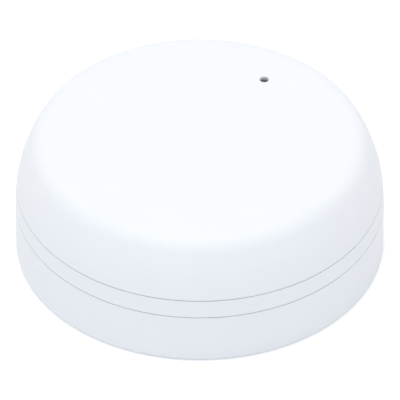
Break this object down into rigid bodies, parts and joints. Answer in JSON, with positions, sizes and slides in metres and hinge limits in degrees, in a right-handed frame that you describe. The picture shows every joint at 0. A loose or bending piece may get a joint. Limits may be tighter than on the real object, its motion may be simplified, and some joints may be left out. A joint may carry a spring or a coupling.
{
  "type": "glass break detector",
  "caption": "Round white acoustic glass break sensor with a sound port in its face, held by twist-lock on a screwed mounting base.",
  "frame": {"origin": "centre of the flat back of the mounting base, on the axis of the round body", "axes": "+Z out of the wall towards the face, +X along the line of the wall screws, +Y up the wall"},
  "size_m": [0.08, 0.08, 0.0292],
  "materials": {
    "white_shell": "fine satin moulding",
    "white_base": "fine satin moulding",
    "board_laminate": "green solder mask",
    "chip_resin": "moulded black resin",
    "ceramic": "fired ceramic with tinned ends",
    "tinned_sheet": "tin plated",
    "nickel": "nickel plated",
    "rubber": "moulded",
    "cloth": "woven dust cloth",
    "lamp_resin": "clear resin",
    "sleeve_film": "shrunk film, bare",
    "seal_plastic": "moulded",
    "copper_strip": "stamped and lacquered",
    "acetal": "moulded",
    "button_plastic": "moulded grey",
    "switch_plastic": "moulded",
    "spring_steel": "drawn wire",
    "zinc_screw": "zinc plated"
  },
  "bodies": {
    "mounting_base": {"mounting_base": "white_base"},
    "tamper_pin": {"tamper_pin": "acetal", "tamper_spring": "spring_steel"},
    "tamper_plunger": {"tamper_switch_plunger": "acetal"},
    "learn_button": {"learn_button": "button_plastic", "learn_switch_plunger": "acetal"},
    "detector": {"front_cover": "white_shell", "rear_chassis": "white_shell", "circuit_board": "board_laminate", "processor_chip": "chip_resin", "audio_chip": "chip_resin", "radio_chip": "chip_resin", "crystal": "nickel", "reserve_capacitor": "chip_resin", "chip_capacitors": "ceramic", "chip_resistors": "ceramic", "rf_shield": "tinned_sheet", "status_led": "lamp_resin", "programming_header": "switch_plastic", "aerial_strip": "copper_strip", "microphone_capsule": "nickel", "microphone_boot": "rubber", "acoustic_mesh": "cloth", "battery_can": "nickel", "battery_sleeve": "sleeve_film", "battery_seal": "seal_plastic", "battery_cap": "nickel", "positive_contact": "nickel", "negative_contact": "nickel", "tamper_switch": "switch_plastic", "learn_switch": "switch_plastic", "cover_screws": "zinc_screw", "board_screws": "zinc_screw"}
  },
  "joints": [
    {"name": "detector_twist", "type": "hinge", "parent": "mounting_base", "child": "detector", "pos_m": [0, 0, 0.008], "axis": [0, 0, 1], "range_deg": [0, 15]},
    {"name": "tamper_pin_travel", "type": "slide", "parent": "detector", "child": "tamper_pin", "axis": [0, 0, 1], "range_m": [-0.0015, 0], "deforming": ["tamper_spring"]},
    {"name": "tamper_plunger_travel", "type": "slide", "parent": "detector", "child": "tamper_plunger", "axis": [0, 0, 1], "range_m": [-0.0003, 0]},
    {"name": "learn_button_travel", "type": "slide", "parent": "detector", "child": "learn_button", "axis": [0, 0, 1], "range_m": [0, 0.0003], "stiffness_N_per_m": 1500}
  ],
  "couplings": [
    {"joint": "tamper_pin_travel", "follows": "detector_twist", "m_per_rad": -0.005729},
    {"joint": "tamper_plunger_travel", "follows": "detector_twist", "m_per_rad": -0.001145}
  ]
}
